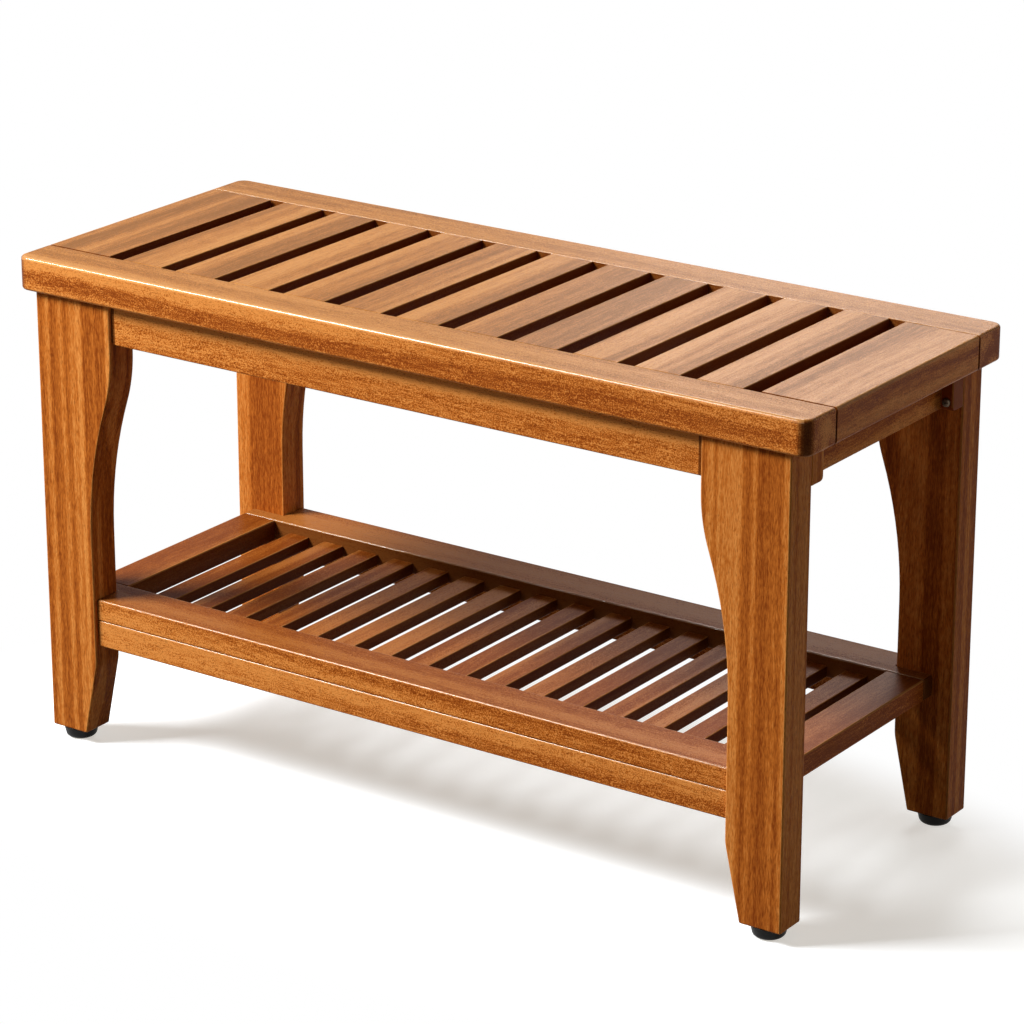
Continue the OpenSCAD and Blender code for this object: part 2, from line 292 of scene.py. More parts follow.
def blend(tree, amount, first, second):
    mix = addNode(tree, "ShaderNodeMix", data_type="RGBA")
    for value, into in ((amount, 0), (first, mixFirst), (second, mixSecond)):
        feed(tree, value, mix, into)
    return mix, mixResult


def objectPlace(tree):
    return addNode(tree, "ShaderNodeTexCoord"), "Object"


def stretchedNoise(tree, place, along, across, detail, roughness=0.5):
    # along and across the grain, which runs along X: how many features the noise has in a metre
    scaled = calculateVector(tree, "MULTIPLY", place, vectorOf(tree, along, across, across))
    noise = addNode(tree, "ShaderNodeTexNoise", {"Scale": 1, "Detail": detail, "Roughness": roughness})
    feed(tree, scaled, noise, "Vector")
    return noise, "Fac"


def spread(tree, value, low, high):
    # low becomes 0 and high becomes 1
    made = addNode(tree, "ShaderNodeMapRange", interpolation_type="SMOOTHSTEP")
    for source, into in ((value, "Value"), (low, "From Min"), (high, "From Max")):
        feed(tree, source, made, into)
    return made, "Result"


def newGroup(name, inputs, outputs):
    # an input's value tells its kind: a number, a colour, or None for a vector
    group = bpy.data.node_groups.new(name, "ShaderNodeTree")
    for label, value in inputs.items():
        kind = "Vector" if value is None else "Color" if isinstance(value, tuple) else "Float"
        socket = group.interface.new_socket(name=label, in_out="INPUT", socket_type="NodeSocket" + kind)
        if value is not None:
            socket.default_value = value
    for label, kind in outputs.items():
        group.interface.new_socket(name=label, in_out="OUTPUT", socket_type="NodeSocket" + kind)
    return group, addNode(group, "NodeGroupInput"), addNode(group, "NodeGroupOutput")


figureShape = {
    # the noises: features per metre along and across the grain, where a finish doesn't set them
    "wander": {"along": 3.5, "across": 9, "detail": 1},
    "ribbon": {"detail": 1.2, "roughness": 0.45},
    "mottle": {"along": 10, "across": 85, "detail": 2},
    "streaks": {"across": 260, "detail": 4, "roughness": 0.6},
    "fibres": {"along": 60, "across": 560, "detail": 2},
    "flecks": {"across": 1100, "detail": 1},
    "pores": {"along": 240, "across": 1000, "detail": 1},
    "mottleEdges": (0.5, 0.72), "poreEdges": (0.54, 0.7),
    "fibreHeight": 0.5, "poreHeight": -1.0,
    "boardSteps": (3.71, 1.93, 2.37),  # metres in the log from one board number to the next
}


def buildTeakFigure():
    # the wood's figure, for a board whose grain runs along X of the vector that comes in
    shape = figureShape
    tree, start, end = newGroup("teakFigure", {
        "Vector": None, "Board": 0.0, "Wander": 0.014,
        "Ribbon Bands": 42.0, "Ribbon Run": 0.7, "Ribbon Depth": 0.5, "Ribbon Softness": 0.14,
        "Streaks Along": 7.0, "Streak Depth": 0.8, "Mottle Depth": 0.3, "Fibre Depth": 0.8,
        "Fleck Depth": 2.5, "Flecks Along": 850.0,
    }, {"Tone": "Float", "Pores": "Float", "Height": "Float"})

    # each board is cut from another place in the log, and its grain wanders a little
    shift = vectorOf(tree, *[calculate(tree, "MULTIPLY", (start, "Board"), step)
                             for step in shape["boardSteps"]])
    place = calculateVector(tree, "ADD", (start, "Vector"), shift)
    wander = aroundZero(tree, stretchedNoise(tree, place, **shape["wander"]))
    sideways = calculate(tree, "MULTIPLY", wander, (start, "Wander"))
    grain = calculateVector(tree, "ADD", place, vectorOf(tree, 0, sideways, sideways))

    # broad ribbons, darker mottles within them, fine streaks and fibres, and the shortest flecks
    softness = start, "Ribbon Softness"
    ribbon = stretchedNoise(tree, grain, (start, "Ribbon Run"), (start, "Ribbon Bands"), **shape["ribbon"])
    ribbon = spread(tree, ribbon, calculate(tree, "SUBTRACT", 0.5, softness),
                    calculate(tree, "ADD", 0.5, softness))
    mottle = spread(tree, stretchedNoise(tree, grain, **shape["mottle"]), *shape["mottleEdges"])
    streaks = stretchedNoise(tree, grain, (start, "Streaks Along"), **shape["streaks"])
    fibres = stretchedNoise(tree, grain, **shape["fibres"])
    flecks = stretchedNoise(tree, grain, (start, "Flecks Along"), **shape["flecks"])
    pores = spread(tree, stretchedNoise(tree, grain, **shape["pores"]), *shape["poreEdges"])

    tone = calculate(tree, "MULTIPLY_ADD", (start, "Ribbon Depth"), aroundZero(tree, ribbon), 0.5)
    tone = calculate(tree, "SUBTRACT", tone, calculate(tree, "MULTIPLY", (start, "Mottle Depth"), mottle))
    for depth, part in (("Streak Depth", streaks), ("Fibre Depth", fibres), ("Fleck Depth", flecks)):
        tone = calculate(tree, "MULTIPLY_ADD", (start, depth), aroundZero(tree, part), tone)
    height = calculate(tree, "MULTIPLY_ADD", fibres, shape["fibreHeight"],
                       calculate(tree, "MULTIPLY", pores, shape["poreHeight"]))
    for label, value in (("Tone", tone), ("Pores", pores), ("Height", height)):
        feed(tree, value, end, label)
    return tree


def buildBoardTint():
    # over the figure's colour: darker pores, painted shade on the tops, painted shade on faces in gaps,
    # joints and rounded corners, and a painted highlight on the eased edges
    tree, start, end = newGroup("boardTint", {
        "Figure": (0.5, 0.2, 0.05, 1),
        "Pore Mask": 0.0, "Pore Depth": 0.5, "Pore Color": (0.1, 0.03, 0.01, 1),
        "Top Mask": 0.0, "Top Depth": 0.4, "Top Color": (0.6, 0.3, 0.1, 1),
        "Gap Mask": 0.0, "Gap Depth": 0.5, "Gap Color": (0.1, 0.03, 0.01, 1),
        "Edge Mask": 0.0, "Edge Depth": 0.3, "Edge Color": (0.7, 0.4, 0.15, 1),
    }, {"Color": "Color"})
    colour = start, "Figure"
    for overlay in ("Pore", "Top", "Gap", "Edge"):
        amount = calculate(tree, "MULTIPLY", (start, overlay + " Mask"), (start, overlay + " Depth"))
        colour = blend(tree, amount, colour, (start, overlay + " Color"))
    feed(tree, colour, end, "Color")
    return tree


teakFigure = buildTeakFigure()
boardTint = buildBoardTint()

# the axis that a board's grain runs along, and the turn in degrees that brings it onto X
grains = {
    "length": {"axis": xAxis, "turn": (0, 0, 0)},
    "depth": {"axis": yAxis, "turn": (0, 0, -90)},
    "upright": {"axis": zAxis, "turn": (0, 90, 0)},
}

teakLook = {
    "dark": (0.235, 0.049, 0.006, 1), "mid": (0.487, 0.138, 0.019, 1), "light": (0.71, 0.272, 0.062, 1),
    "darkTone": 0.12, "midTone": 0.5, "lightTone": 0.88,
    "pore": (0.11, 0.024, 0.003, 1), "poreDepth": 0.3,
    # edge is a painted highlight: a lighter colour on the eased edges that face up, where the coat adds
    # real gloss
    "edge": (0.74, 0.36, 0.10, 1), "edgeDepth": 0.25, "edgeRoughness": 0.17,
    # gap is painted shade on faces in gaps, joints and rounded corners
    "gap": (0.09, 0.02, 0.003, 1), "gapDepth": 0.84,
    # the tops get painted shade: the seat's darker and more golden than the wood, the shelf's and the rest
    # darker and redder
    "seatTop": (0.14, 0.09, 0.021, 1), "seatTopDepth": 0.52,
    "shelfTop": (0.1, 0.024, 0.003, 1), "shelfTopDepth": 0.68,
    "shadeStep": 0.16,  # how much lighter one step of boardToneAndPaintedShade is
    "roughness": (0.3, 0.42), "relief": 0.2, "reliefHeight": 0.0004,
}


def newMaterial(name):
    finish = bpy.data.materials.new(name)
    finish.use_nodes = True
    tree = finish.node_tree
    return finish, tree, tree.nodes["Principled BSDF"]


def addRelief(tree, surface, height, strength, reach):
    relief = addNode(tree, "ShaderNodeBump", {"Strength": strength, "Distance": reach})
    feed(tree, height, relief, "Height")
    feed(tree, relief, surface, "Normal")


def makeTeak(name, grain, figureValues, top="shelfTop", specular=0.02, edgeGloss=0.0):
    # figureValues are the inputs of the teakFigure group that this board's cut changes
    finish, tree, surface = newMaterial(name)
    look = teakLook
    turned = addNode(tree, "ShaderNodeMapping",
                     {"Rotation": [math.radians(angle) for angle in grains[grain]["turn"]]})
    feed(tree, objectPlace(tree), turned, "Vector")
    board, shade, edge, gap, upper = [
        (addNode(tree, "ShaderNodeAttribute", attribute_name=label), "Fac")
        for label in ("boardNumber", "boardShade", "easedEdge", "gapSide", "upperSide")]
    figure = addNode(tree, "ShaderNodeGroup", figureValues, node_tree=teakFigure)
    feed(tree, turned, figure, "Vector")
    feed(tree, board, figure, "Board")
    tone = calculate(tree, "MULTIPLY_ADD", shade, look["shadeStep"], (figure, "Tone"))
    colours = addNode(tree, "ShaderNodeValToRGB")
    ramp = colours.color_ramp
    ramp.elements[0].position, ramp.elements[0].color = look["darkTone"], look["dark"]
    ramp.elements[1].position, ramp.elements[1].color = look["lightTone"], look["light"]
    ramp.elements.new(look["midTone"]).color = look["mid"]
    feed(tree, tone, colours, "Fac")
    tint = addNode(tree, "ShaderNodeGroup", {
        "Pore Color": look["pore"], "Pore Depth": look["poreDepth"],
        "Top Color": look[top], "Top Depth": look[top + "Depth"],
        "Gap Color": look["gap"], "Gap Depth": look["gapDepth"],
        "Edge Color": look["edge"], "Edge Depth": look["edgeDepth"],
    }, node_tree=boardTint)
    for value, into in (((colours, "Color"), "Figure"), ((figure, "Pores"), "Pore Mask"),
                        (upper, "Top Mask"), (gap, "Gap Mask"), (edge, "Edge Mask")):
        feed(tree, value, tint, into)
    feed(tree, (tint, "Color"), surface, "Base Color")
    glossiest, dullest = look["roughness"]
    dull = addNode(tree, "ShaderNodeMapRange", {"To Min": dullest, "To Max": glossiest})
    feed(tree, (figure, "Tone"), dull, "Value")
    feed(tree, (dull, "Result"), surface, "Roughness")
    if edgeGloss:
        feed(tree, calculate(tree, "MULTIPLY", edge, edgeGloss), surface, "Coat Weight")
    addRelief(tree, surface, (figure, "Height"), look["relief"], look["reliefHeight"])
    surface.inputs["Specular IOR Level"].default_value = specular
    surface.inputs["Coat Roughness"].default_value = look["edgeRoughness"]
    finish["grain"] = grain
    return finish


seatLength = makeTeak("teakSeatRails", "length", {
    "Ribbon Bands": 44, "Ribbon Depth": 0.7, "Streak Depth": 0.45, "Mottle Depth": 0.05,
    "Fibre Depth": 1.0, "Fleck Depth": 2.2}, top="seatTop", specular=0.04, edgeGloss=0.6)
seatDepth = makeTeak("teakSeatSlats", "depth", {
    "Ribbon Bands": 50, "Ribbon Depth": 0.5, "Streak Depth": 0.9, "Mottle Depth": 0.05,
    "Fleck Depth": 1.2}, top="seatTop", specular=0.04)
frameLength = makeTeak("teakRails", "length", {
    "Ribbon Bands": 46, "Streak Depth": 0.5, "Mottle Depth": 0.05, "Fibre Depth": 1.0,
    "Fleck Depth": 2.2}, edgeGloss=0.7)
frameDepth = makeTeak("teakEndRails", "depth", {
    "Ribbon Bands": 46, "Ribbon Depth": 0.4, "Streak Depth": 0.6, "Mottle Depth": 0.1,
    "Fleck Depth": 1.4})
shelfDepth = makeTeak("teakShelfSlats", "depth", {
    "Ribbon Bands": 60, "Ribbon Depth": 0.6, "Streak Depth": 0.8, "Mottle Depth": 0.1,
    "Fleck Depth": 2.0})
upright = makeTeak("teakLegs", "upright", {
    "Wander": 0.003, "Ribbon Bands": 72, "Ribbon Run": 0.2, "Ribbon Depth": 0.36,
    "Ribbon Softness": 0.07, "Streaks Along": 3, "Streak Depth": 0.6, "Mottle Depth": 0,
    "Fibre Depth": 0.6, "Flecks Along": 170, "Fleck Depth": 0.75})
print("wood finishes ready")

plainLook = {"roughnessStep": 0.08, "darkShare": 0.8, "detail": 2, "reliefHeight": 0.0002}


def makePlain(name, colour, roughness, metal=0.0, specular=0.5, specks=900, relief=0.1):
    # an even finish with fine specks, so many in a metre, in its colour, roughness and relief
    finish, tree, surface = newMaterial(name)
    look = plainLook
    noise = addNode(tree, "ShaderNodeTexNoise", {"Scale": specks, "Detail": look["detail"]})
    feed(tree, objectPlace(tree), noise, "Vector")
    dull = addNode(tree, "ShaderNodeMapRange", {"To Min": roughness - look["roughnessStep"],
                                                "To Max": roughness + look["roughnessStep"]})
    feed(tree, (noise, "Fac"), dull, "Value")
    feed(tree, (dull, "Result"), surface, "Roughness")
    darker = [part * look["darkShare"] for part in colour[:3]] + [1]
    shades = addNode(tree, "ShaderNodeMix", {mixFirst: darker, mixSecond: colour}, data_type="RGBA")
    feed(tree, (noise, "Fac"), shades, 0)
    feed(tree, (shades, mixResult), surface, "Base Color")
    addRelief(tree, surface, (noise, "Fac"), relief, look["reliefHeight"])
    surface.inputs["Metallic"].default_value = metal
    surface.inputs["Specular IOR Level"].default_value = specular
    return finish


rubber = makePlain("footRubber", (0.004, 0.0035, 0.003, 1), 0.5, specular=0.12, specks=700, relief=0.3)
steel = makePlain("screwSteel", (0.11, 0.078, 0.052, 1), 0.42, metal=1.0)
beech = makePlain("dowelBeech", (0.6, 0.42, 0.24, 1), 0.6, specks=400, relief=0.3)
print("rubber, steel and beech ready")

# how light a board is beside the others, in steps; 0 is as the wood comes
# some steps are painted: back_right_cleat, back_right_leg (partly) and shelf_right_rail are darker for
# painted shade, shelf_back_rail lighter for painted light; the rest is the wood's own tone
boardToneAndPaintedShade = {
    "front_rail": 0.8, "back_rail": -1.2, "left_end_board": -0.8, "right_end_board": -0.4,
    "front_apron": 1.6, "right_apron": 0.0, "back_right_cleat": -4.0,
    "front_left_leg": 0.0, "front_right_leg": -0.2, "back_left_leg": -0.5, "back_right_leg": -0.6,
    "shelf_front_rail": 0.6, "shelf_right_rail": -0.8, "shelf_back_rail": 2.0,
    "front_stretcher": 0.7,
}

# where in the log a board is cut, for the boards whose figure shows most
boardNumbers = {
    "front_rail": 1.92, "left_end_board": 6.303, "right_end_board": 1.628,
    "seat_slat_09": 8.042, "seat_slat_10": 9.487, "seat_slat_11": 9.577, "front_apron": 9.712,
    "front_left_leg": 7.536, "front_right_leg": 6.132, "back_left_leg": 8.734, "back_right_leg": 5.539,
    "shelf_front_rail": 4.639, "front_stretcher": 8.813,
}

marking = {
    "numbers": 10,  # the other boards have numbers from 0 to this, and shades from -0.5 to 0.5
    "stripWidth": 0.0014,  # metres; the faces of an eased edge are narrower
    "alongShare": 0.8,  # and this much of their length lies along the grain
    "rubbedNormal": -0.1,  # faces that look further down get no painted highlight and no coat
}
goldenShare = 0.6180339887


def steadyNumber(text):
    # from 0 to 1, and the same for a text on each run
    total = sum(place * ord(letter) for place, letter in enumerate(text, start=3))
    return (total * goldenShare) % 1


def markBoard(piece, node, grainAxis, inGap):
    # The first mark picks the eased edges along the grain that face up, for a painted highlight and a
    # coat, the second what lies in a gap, joint or rounded corner, for painted shade, and the third the
    # tops, for painted shade
    mesh = piece.data
    number = boardNumbers.get(node, marking["numbers"] * steadyNumber(node))
    shade = boardToneAndPaintedShade.get(node, steadyNumber(node + "shade") - 0.5)
    for label, value in (("boardNumber", number), ("boardShade", shade)):
        layer = mesh.attributes.new(label, "FLOAT", "POINT")
        layer.data.foreach_set("value", [value] * len(mesh.vertices))
    marks = ("easedEdge", "gapSide", "upperSide")
    for label in marks:
        mesh.attributes.new(label, "FLOAT", "FACE")
    highlightedEdges, shadedGapFaces, upper = [mesh.attributes[label].data for label in marks]
    for face in mesh.polygons:
        sides = [mesh.vertices[a].co - mesh.vertices[b].co for a, b in face.edge_keys]
        longest = max(sides, key=lambda side: side.length)
        narrow = face.area / longest.length < marking["stripWidth"]
        along = abs(longest[grainAxis]) > marking["alongShare"] * longest.length
        facesUpward = face.normal.z > marking["rubbedNormal"]
        highlightedEdges[face.index].value = float(narrow and along and facesUpward)
        shadedGapFaces[face.index].value = float(inGap(face))
        upper[face.index].value = float(facing(face, zAxis, 1))


def fitPiece(piece, node, finish, inGap=lambda f: False):
    if "grain" in finish:
        markBoard(piece, node, grains[finish["grain"]]["axis"], inGap)
    piece.data.materials.clear()
    piece.data.materials.append(finish)
    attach(piece, "root")
    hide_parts(node)


seatShape = {
    "cornerRadius": 0.011, "cornerSteps": 8, "rimRadius": 0.003, "rimSteps": 5,
    "easedWidth": 0.0008, "endEasedWidth": 0.0004,
    "grooveWidth": 0.0018, "grooveDepth": 0.003,
    "cornerOil": 2.3,  # how fast the painted shade deepens round a rounded corner
}
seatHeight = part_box("front_rail")[1].z
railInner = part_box("back_rail")[0].y


def makeBackRail():
    low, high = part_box("back_rail")
    rail = addBlock("backRail", low, high)
    roundEdges(rail, lambda e: runsAlong(e, zAxis) and near(middle(e).y, high.y),
               seatShape["cornerRadius"], seatShape["cornerSteps"])
    roundEdges(rail, lambda e: level(e, middle(e).z) and middle(e).y > railInner + tiny,
               seatShape["rimRadius"], seatShape["rimSteps"])
    return rail


def makeRightEndBoard():
    # its two ends are stepped back all round, which leaves a fine groove beside each rail
    low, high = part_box("right_end_board")
    groove, step = seatShape["grooveWidth"], seatShape["grooveDepth"]
    inset = Vector((0, groove, 0))
    board = addBlock("rightEndBoard", low + inset, high - inset)
    for end in (low.y + groove, high.y - groove):
        pick(board, "FACE", lambda f: near(middle(f).y, end))
        bpy.ops.mesh.inset(thickness=step)
        leaveEditing()
        slidePoints(board, lambda v: near(v.co.y, end) and near(v.co.x, low.x + step), (-step, 0, 0))
        pick(board, "VERT", lambda v: near(v.co.x, low.x))
        bpy.ops.mesh.remove_doubles(threshold=tiny)
        leaveEditing()
        growFaces(board, lambda f: near(middle(f).y, end) and near(lowest(f, zAxis), low.z + step)
                  and near(highest(f, zAxis), high.z - step), (0, math.copysign(groove, end), 0))
    roundEdges(board, lambda e: runsAlong(e, yAxis) and near(middle(e).x, high.x),
               seatShape["rimRadius"], seatShape["rimSteps"])
    return board


def cornerOil(face):
    # painted shade in a rounded corner, deepest halfway round it
    return min(1, seatShape["cornerOil"] * abs(face.normal.x * face.normal.y))


backRail = makeBackRail()
frontRail = copyPiece(backRail, "frontRail", mirror=(yAxis,))
for rail, node, side in ((backRail, "back_rail", 1), (frontRail, "front_rail", -1)):
    easeEdges(rail, seatShape["easedWidth"])
    # painted shade on the inner face beside the slats and in the rounded corners
    fitPiece(rail, node, seatLength,
             lambda f: 1 if facing(f, yAxis, -side) else cornerOil(f))
rightEndBoard = makeRightEndBoard()
leftEndBoard = copyPiece(rightEndBoard, "leftEndBoard", mirror=(xAxis,))
for board, node, side in ((rightEndBoard, "right_end_board", 1), (leftEndBoard, "left_end_board", -1)):
    easeEdges(board, seatShape["endEasedWidth"])
    # painted shade on the inner face beside the slats, and at the grooves and ends
    fitPiece(board, node, seatDepth,
             lambda f: facing(f, xAxis, -side) or facing(f, yAxis))

slatShape = {
    "easedWidth": 0.001, "shelfEasedWidth": 0.0009,
    "sideShare": 0.5,  # a slat's sides have less of their normals than this along Z
}


def makeSlats(stem, halfRun, eased, finish):
    # a slat stops at the rails' faces here; its tenons are hidden in them
    nodes = sorted(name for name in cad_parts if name.startswith(stem))
    low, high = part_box(nodes[0])
    low.y, high.y = -halfRun, halfRun
    first = addBlock(pieceName(nodes[0]), low, high)
    easeEdges(first, eased)
    slats = [first]
    for node in nodes[1:]:
        slats.append(copyPiece(first, pieceName(node), move=onAxis(xAxis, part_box(node)[0].x - low.x)))
    for slat, node in zip(slats, nodes):
        # painted shade on the slat's sides and ends, in the gaps
        fitPiece(slat, node, finish, lambda f: abs(f.normal.z) < slatShape["sideShare"])
    return slats


seatSlats = makeSlats("seat_slat", railInner, slatShape["easedWidth"], seatDepth)
print("seat:", len(seatSlats), "slats in their frame")


legShape = {
    "waistWidth": 0.055, "footWidth": 0.040,
    "headHeight": 0.048, "waistTop": 0.205, "shoulderRadius": 0.150,
    "taperTop": 0.080, "taperRadius": 0.040,
    "curveSteps": 9, "taperSteps": 4, "easedWidth": 0.0016,
}


def legStations(headWidth, footHeight, topHeight):
    # (width, height) of the leg's inner edge, from the foot up
    shape = legShape
    waistWidth, waistTop = shape["waistWidth"], shape["waistTop"]
    headStart = topHeight - shape["headHeight"]
    turn = 2 * math.atan((headWidth - waistWidth) / (headStart - waistTop))
    hollowRadius = (headStart - waistTop) / math.sin(turn) - shape["shoulderRadius"]
    taperTurn = math.atan((waistWidth - shape["footWidth"]) / (shape["taperTop"] - footHeight))
    bendHeight = shape["taperTop"] + shape["taperRadius"] * math.tan(taperTurn / 2)
    stations = [(shape["footWidth"], footHeight)]
    for step in range(shape["taperSteps"] + 1):
        angle = taperTurn * (1 - step / shape["taperSteps"])
        stations.append((waistWidth - shape["taperRadius"] * (1 - math.cos(angle)),
                         bendHeight - shape["taperRadius"] * math.sin(angle)))
    for step in range(shape["curveSteps"] + 1):
        angle = turn * step / shape["curveSteps"]
        stations.append((waistWidth + hollowRadius * (1 - math.cos(angle)),
                         waistTop + hollowRadius * math.sin(angle)))
    for step in range(1, shape["curveSteps"] + 1):
        angle = turn * (1 - step / shape["curveSteps"])
        stations.append((headWidth - shape["shoulderRadius"] * (1 - math.cos(angle)),
                         headStart - shape["shoulderRadius"] * math.sin(angle)))
    stations.append((headWidth, topHeight))
    return stations


def makeBackRightLeg():
    # a block from the foot, grown upwards station by station
    low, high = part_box("back_right_leg")
    stations = legStations(high.x - low.x, low.z, high.z)
    footWidth = stations[0][0]
    blockHeight = stations[1][1]
    leg = addBlock("backRightLeg", Vector((high.x - footWidth, low.y, low.z)),
                   Vector((high.x, high.y, blockHeight)))
    for (width, height), (nextWidth, nextHeight) in zip(stations, stations[1:]):
        if height > low.z:
            growFaces(leg, lambda f: near(lowest(f, zAxis), height), (0, 0, nextHeight - height))
        slidePoints(leg, lambda v: near(v.co.z, nextHeight) and not near(v.co.x, high.x),
                    (width - nextWidth, 0, 0))
    return leg


# corner -> the axes through which a piece modelled at the back right is mirrored
corners = {"back_right": (), "back_left": (xAxis,), "front_right": (yAxis,), "front_left": (xAxis, yAxis)}


def atCorners(first, kind):
    pieces = {"back_right": first}
    for corner, mirror in corners.items():
        if mirror:
            pieces[corner] = copyPiece(first, pieceName(corner + kind), mirror=mirror)
    return pieces.items()


for corner, leg in atCorners(makeBackRightLeg(), "_leg"):
    easeEdges(leg, legShape["easedWidth"])
    fitPiece(leg, corner + "_leg", upright)
print("legs shaped")


apronShape = {
    "easedWidth": 0.0012,
    "stainRun": 0.0038,  # metres of painted shadow at each end, beside the legs
    "cleatRadius": 0.004, "cleatSteps": 5,
    "screwPitch": 0.2, "counterboreRadius": 0.005, "counterboreDepth": 0.010,
}


def screwsAlongMiddle(node, pitch):
    # three screws up into the board above
    low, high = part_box(node)
    return [Vector((x, (low.y + high.y) / 2, low.z)) for x in (-pitch, 0, pitch)]


def apronScrewPlaces(node):
    low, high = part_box(node)
    if high.x - low.x > high.y - low.y:
        return screwsAlongMiddle(node, apronShape["screwPitch"])
    return [Vector(((low.x + high.x) / 2, y, low.z)) for y in (low.y / 2, high.y / 2)]


def makeBackRightCleat():
    low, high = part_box("back_right_cleat")
    cleat = addBlock("backRightCleat", low, high)
    roundEdges(cleat, lambda e: runsAlong(e, xAxis) and near(middle(e).y, low.y)
               and near(middle(e).z, low.z), apronShape["cleatRadius"], apronShape["cleatSteps"])
    return cleat


# apron -> its twin across the bench, and the axis between them
aprons = {
    "back_apron": ("front_apron", yAxis, frameLength),
    "right_apron": ("left_apron", xAxis, frameDepth),
}
for node, (twin, acrossAxis, finish) in aprons.items():
    low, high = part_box(node)
    apron = addBlock(pieceName(node), low, high)
    alongAxis = xAxis if acrossAxis == yAxis else yAxis
    shadowLineStart = high[alongAxis] - apronShape["stainRun"]
    for place in (-shadowLineStart, shadowLineStart):
        divideAt(apron, alongAxis, place)
    easeEdges(apron, apronShape["easedWidth"])
    drillUp(apron, apronScrewPlaces(node), apronShape["counterboreRadius"], apronShape["counterboreDepth"])
    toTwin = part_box(twin)[0][acrossAxis] - low[acrossAxis]
    other = copyPiece(apron, pieceName(twin), move=onAxis(acrossAxis, toTwin))
    for piece, name in ((apron, node), (other, twin)):
        # painted shadow on the ends and on a strip beside each end, next to the legs
        fitPiece(piece, name, finish,
                 lambda f: atEnd(f, alongAxis) or abs(f.center[alongAxis]) > shadowLineStart)
for corner, cleat in atCorners(makeBackRightCleat(), "_cleat"):
    easeEdges(cleat, apronShape["easedWidth"])
    fitPiece(cleat, corner + "_cleat", upright)
print("aprons and cleats in place")


shelfShape = {
    "easedWidth": 0.0014,
    "screwPitch": 0.2, "counterboreRadius": 0.005, "counterboreDepth": 0.008,
}
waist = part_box("front_stretcher")[1].x
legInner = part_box("back_right_leg")[0].y
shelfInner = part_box("shelf_back_rail")[0].y


def makeShelfBackRail():
    # full width between the legs, and a tongue behind each leg
    low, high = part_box("shelf_back_rail")
    rail = addBlock("shelfBackRail", Vector((-waist, low.y, low.z)), Vector((waist, high.y, high.z)))
    divideAt(rail, yAxis, legInner)
    for end in (-1, 1):
        growFaces(rail, lambda f: near(middle(f).x, end * waist) and middle(f).y < legInner,
                  (end * (high.x - waist), 0, 0))
    return rail


shelfBackRail = makeShelfBackRail()
shelfFrontRail = copyPiece(shelfBackRail, "shelfFrontRail", mirror=(yAxis,))
for rail, node, side in ((shelfBackRail, "shelf_back_rail", 1), (shelfFrontRail, "shelf_front_rail", -1)):
    easeEdges(rail, shelfShape["easedWidth"])
    # painted shade on the inner face beside the slats and at the ends by the legs
    fitPiece(rail, node, frameLength,
             lambda f: facing(f, yAxis, -side) or atEnd(f, xAxis))
shelfRightRail = addBlock("shelfRightRail", *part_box("shelf_right_rail"))
easeEdges(shelfRightRail, shelfShape["easedWidth"])
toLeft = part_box("shelf_left_rail")[0].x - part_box("shelf_right_rail")[0].x
shelfLeftRail = copyPiece(shelfRightRail, "shelfLeftRail", move=onAxis(xAxis, toLeft))
for rail, node, side in ((shelfRightRail, "shelf_right_rail", 1), (shelfLeftRail, "shelf_left_rail", -1)):
    # painted shade on the inner face and at the ends
    fitPiece(rail, node, frameDepth,
             lambda f: facing(f, xAxis, -side) or facing(f, yAxis))
shelfSlats = makeSlats("shelf_slat", shelfInner, slatShape["shelfEasedWidth"], shelfDepth)
backStretcher = addBlock("backStretcher", *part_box("back_stretcher"))
easeEdges(backStretcher, shelfShape["easedWidth"])
drillUp(backStretcher, screwsAlongMiddle("back_stretcher", shelfShape["screwPitch"]),
        shelfShape["counterboreRadius"], shelfShape["counterboreDepth"])
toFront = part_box("front_stretcher")[0].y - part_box("back_stretcher")[0].y
frontStretcher = copyPiece(backStretcher, "frontStretcher", move=onAxis(yAxis, toFront))
for stretcher, node in ((backStretcher, "back_stretcher"), (frontStretcher, "front_stretcher")):
    # painted shade at the ends by the legs
    fitPiece(stretcher, node, frameLength, lambda f: atEnd(f, xAxis))
print("shelf:", len(shelfSlats), "slats in their frame")


footShape = {
    "topRadius": 0.016, "lowRadius": 0.0135, "sides": 64,
    "edgeRadius": 0.004, "edgeSteps": 6, "rimRadius": 0.0006,
    "recessRadius": 0.00525, "recessDepth": 0.005,
}


def underMiddle(node):
    low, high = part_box(node)
    return Vector(((low.x + high.x) / 2, (low.y + high.y) / 2, low.z))


def makeBackRightFoot():
    shape = footShape
    low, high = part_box("back_right_foot")
    under = underMiddle("back_right_foot")
    foot = addRound("backRightFoot", (low + high) / 2, shape["topRadius"], high.z - low.z, shape["sides"])
    pick(foot, "VERT", lambda v: near(v.co.z, low.z))
    shrink = shape["lowRadius"] / shape["topRadius"]
    bpy.ops.transform.resize(value=(shrink, shrink, 1), center_override=under)
    leaveEditing()
    for height, radius in ((low.z, shape["edgeRadius"]), (high.z, shape["rimRadius"])):
        roundEdges(foot, lambda e: level(e, height), radius, shape["edgeSteps"])
    drillUp(foot, [under], shape["recessRadius"], shape["recessDepth"])
    return foot


for corner, foot in atCorners(makeBackRightFoot(), "_foot"):
    useOnly(foot)
    bpy.ops.object.shade_smooth_by_angle(angle=smoothAngle)
    fitPiece(foot, corner + "_foot", rubber)
print("feet under the legs")


screwShape = {
    "shankRadius": 0.002, "shankSides": 20, "tipLength": 0.004, "tipShare": 0.15,
    "headRadius": 0.00375, "headHeight": 0.0025, "headRound": 0.0012, "headSteps": 4,
    "slotWidth": 0.0009, "slotRun": 0.0042, "slotDepth": 0.0014,
    "cleatLength": 0.027, "seatLength": 0.045, "stretcherLength": 0.032, "footLength": 0.035,
}


